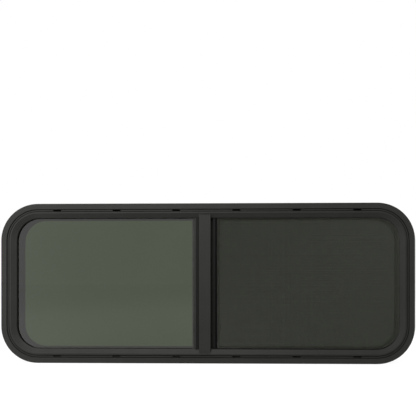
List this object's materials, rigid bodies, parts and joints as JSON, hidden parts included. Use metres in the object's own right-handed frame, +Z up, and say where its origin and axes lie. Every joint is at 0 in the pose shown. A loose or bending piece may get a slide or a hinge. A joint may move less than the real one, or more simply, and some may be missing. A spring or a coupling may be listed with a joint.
{
  "type": "caravan sliding window",
  "caption": "Long low caravan window with rounded corners: fixed tinted pane, fly screen over a sliding pane, black frame and clamp ring.",
  "frame": {"origin": "middle of the bottom flange's back face, on the plane of the wall's outer skin, at the window's mid-width", "axes": "+X to the right as seen from outside, +Y into the caravan through the wall, +Z up"},
  "size_m": [1.068, 0.0514, 0.413],
  "materials": {
    "frame": "satin black powder coat on aluminium",
    "ring": "satin black powder coat on aluminium",
    "glass": "tinted privacy glass",
    "rubber": "matt black rubber",
    "foam": "closed-cell foam tape",
    "mesh": "black woven fly-screen mesh",
    "plastic": "black nylon",
    "pile": "grey woven pile",
    "aluminium": "bare mill-finish aluminium"
  },
  "bodies": {
    "root": {"outer_frame": "frame", "flange_tape": "foam", "frame_splice": "aluminium", "fixed_glass": "glass", "fixed_glass_gasket": "rubber", "fixed_glass_bead": "rubber", "glass_block_left": "rubber", "glass_block_right": "rubber", "mullion": "frame", "mullion_gasket": "rubber", "mullion_bead": "rubber", "mullion_top_clip": "frame", "mullion_bottom_clip": "frame", "screen_bow": "frame", "screen_stile": "frame", "screen_mesh": "mesh", "screen_spline": "rubber", "screen_tab_upper": "plastic", "screen_tab_lower": "plastic", "sash_glass": "glass", "sash_stile": "frame", "sash_gasket_outer": "rubber", "sash_gasket_inner": "rubber", "sash_handle": "frame", "bottom_track_liner": "plastic", "top_track_liner": "plastic", "clamp_ring": "ring", "latch_body": "plastic", "latch_lever": "plastic", "latch_keeper": "aluminium", "jamb_seal": "plastic", "sash_glide_left": "plastic", "sash_glide_right": "plastic", "sash_stop_top": "rubber", "sash_stop_bottom": "rubber", "mullion_pile": "pile"}
  },
  "joints": []
}
